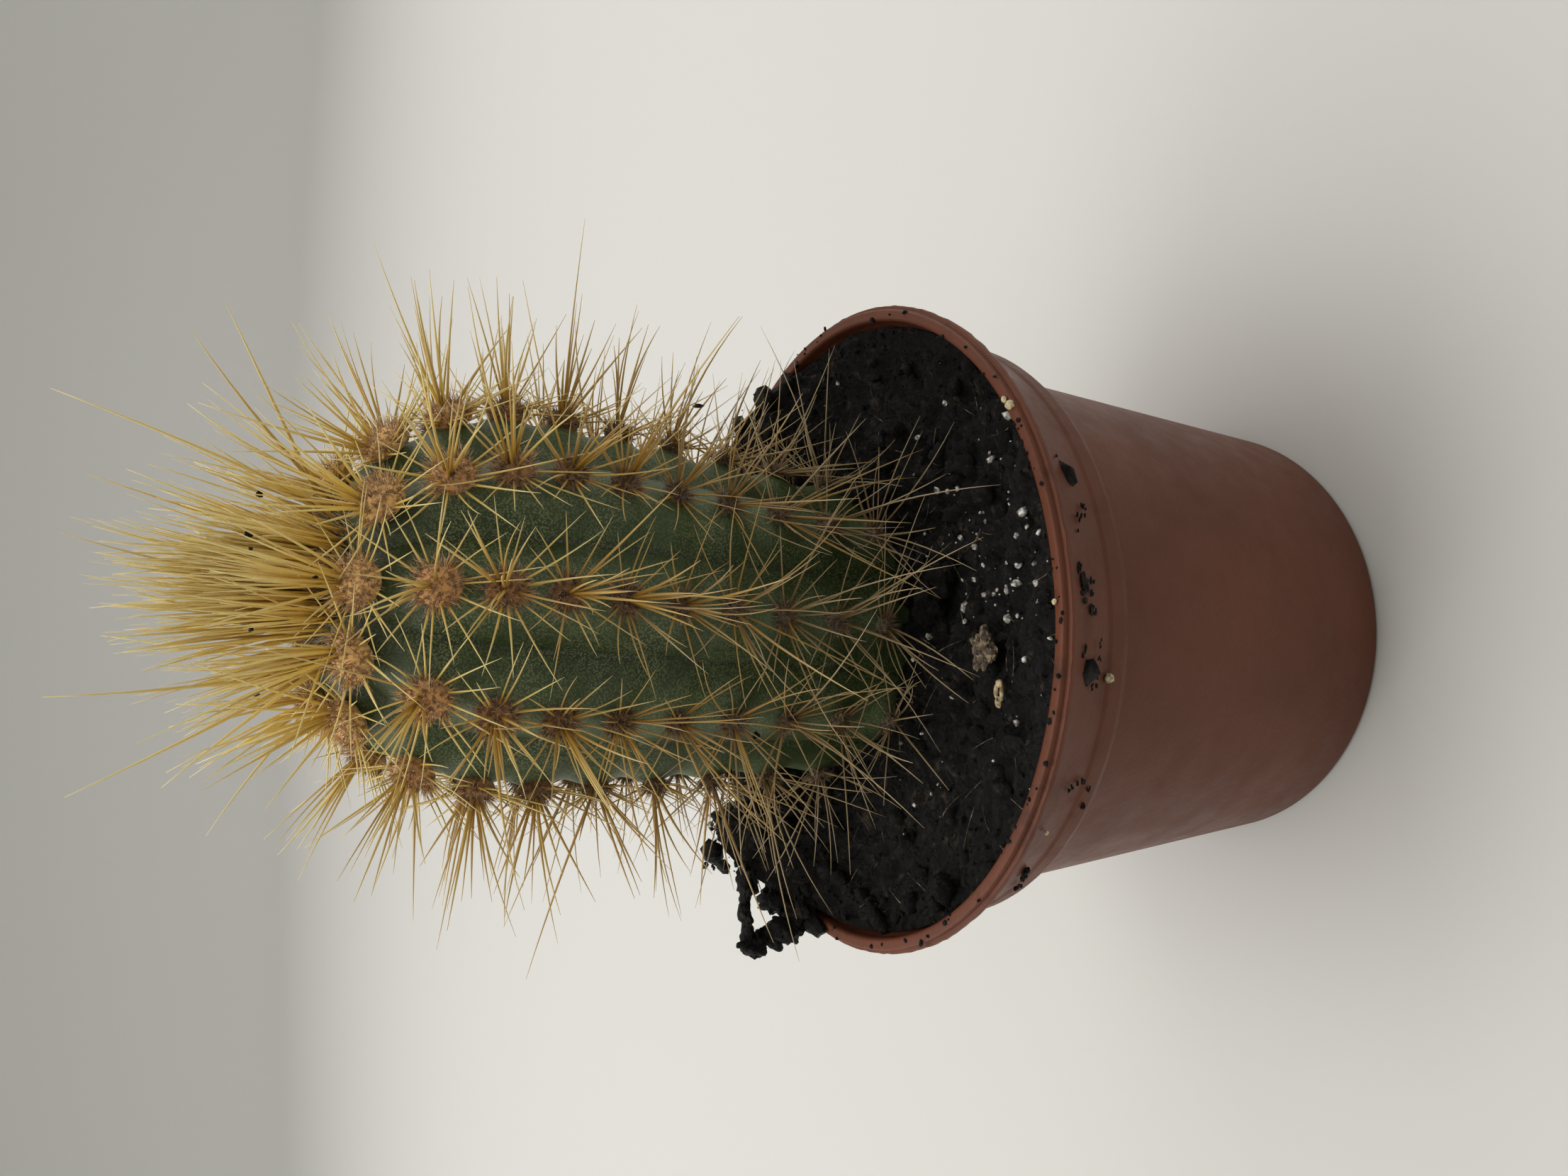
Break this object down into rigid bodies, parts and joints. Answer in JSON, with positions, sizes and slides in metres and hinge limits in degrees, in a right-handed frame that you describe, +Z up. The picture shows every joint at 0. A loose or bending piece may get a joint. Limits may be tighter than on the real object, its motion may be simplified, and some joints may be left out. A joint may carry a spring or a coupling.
{
  "type": "potted columnar cactus",
  "caption": "Young ribbed columnar cactus with golden spines and a dense crown tuft, growing in black potting mix in a round brown plastic nursery pot.",
  "frame": {"origin": "centre of the disc under the pot that it stands on, in the plane of the foot", "axes": "+Z up along the pot's axis, -Y towards the front of the plant, +X to its right as seen from the front"},
  "size_m": [0.0974, 0.1053, 0.1661],
  "materials": {
    "pot_plastic": "satin",
    "peat_mix": "matte",
    "cactus_skin": "satin",
    "spine": "satin",
    "bark": "matte"
  },
  "bodies": {
    "root": {"bark_chip": "bark", "crown_tuft": "spine", "pot": "pot_plastic", "potting_soil": "peat_mix", "seed_husk": "bark", "soil_clod": "peat_mix", "spine_cluster_rib10_tier1": "spine", "spine_cluster_rib10_tier3": "spine", "spine_cluster_rib10_tier5": "spine", "spine_cluster_rib10_tier7": "spine", "spine_cluster_rib10_tier9": "spine", "spine_cluster_rib1_tier1": "spine", "spine_cluster_rib1_tier3": "spine", "spine_cluster_rib1_tier5": "spine", "spine_cluster_rib1_tier7": "spine", "spine_cluster_rib1_tier9": "spine", "spine_cluster_rib2_tier1": "spine", "spine_cluster_rib2_tier3": "spine", "spine_cluster_rib2_tier5": "spine", "spine_cluster_rib2_tier7": "spine", "spine_cluster_rib2_tier9": "spine", "spine_cluster_rib3_tier1": "spine", "spine_cluster_rib3_tier3": "spine", "spine_cluster_rib3_tier5": "spine", "spine_cluster_rib3_tier7": "spine", "spine_cluster_rib3_tier9": "spine", "spine_cluster_rib4_tier1": "spine", "spine_cluster_rib4_tier3": "spine", "spine_cluster_rib4_tier5": "spine", "spine_cluster_rib4_tier7": "spine", "spine_cluster_rib4_tier9": "spine", "spine_cluster_rib5_tier1": "spine", "spine_cluster_rib5_tier3": "spine", "spine_cluster_rib5_tier5": "spine", "spine_cluster_rib5_tier7": "spine", "spine_cluster_rib5_tier9": "spine", "spine_cluster_rib6_tier1": "spine", "spine_cluster_rib6_tier3": "spine", "spine_cluster_rib6_tier5": "spine", "spine_cluster_rib6_tier7": "spine", "spine_cluster_rib6_tier9": "spine", "spine_cluster_rib7_tier1": "spine", "spine_cluster_rib7_tier3": "spine", "spine_cluster_rib7_tier5": "spine", "spine_cluster_rib7_tier7": "spine", "spine_cluster_rib7_tier9": "spine", "spine_cluster_rib8_tier1": "spine", "spine_cluster_rib8_tier3": "spine", "spine_cluster_rib8_tier5": "spine", "spine_cluster_rib8_tier7": "spine", "spine_cluster_rib8_tier9": "spine", "spine_cluster_rib9_tier1": "spine", "spine_cluster_rib9_tier3": "spine", "spine_cluster_rib9_tier5": "spine", "spine_cluster_rib9_tier7": "spine", "spine_cluster_rib9_tier9": "spine", "stem": "cactus_skin"}
  },
  "joints": []
}
